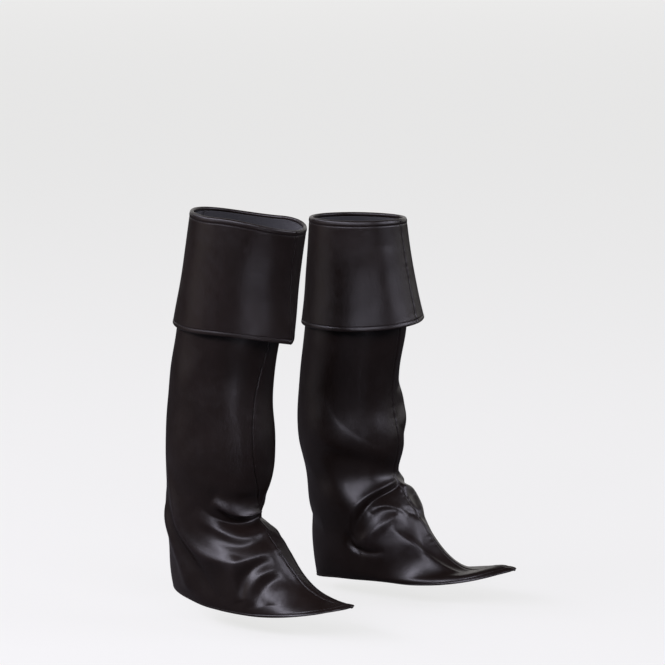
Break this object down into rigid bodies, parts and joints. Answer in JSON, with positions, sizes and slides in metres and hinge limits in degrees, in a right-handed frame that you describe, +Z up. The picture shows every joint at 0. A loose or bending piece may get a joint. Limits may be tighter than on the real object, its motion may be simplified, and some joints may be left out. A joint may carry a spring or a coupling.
{
  "type": "pair of boot covers",
  "caption": "Pair of hollow knee-high boot covers in black faux leather, each with a turned-down cuff, loose ankle folds and a tongue over the instep.",
  "frame": {"origin": "midway between the two top openings, where the wearer's legs hold the pair up", "axes": "+Z up along the shafts, +X towards the toes, +Y to the wearer's left"},
  "size_m": [0.3762, 0.3995, 0.5253],
  "materials": {
    "black_faux_leather": "semi-gloss fine-grained faux leather, worn soft at the folds"
  },
  "bodies": {
    "root": {"right_outer_panel": "black_faux_leather", "right_inner_panel": "black_faux_leather", "left_inner_panel": "black_faux_leather", "left_outer_panel": "black_faux_leather", "right_cuff_outer": "black_faux_leather", "right_cuff_inner": "black_faux_leather", "left_cuff_inner": "black_faux_leather", "left_cuff_outer": "black_faux_leather"}
  },
  "joints": []
}
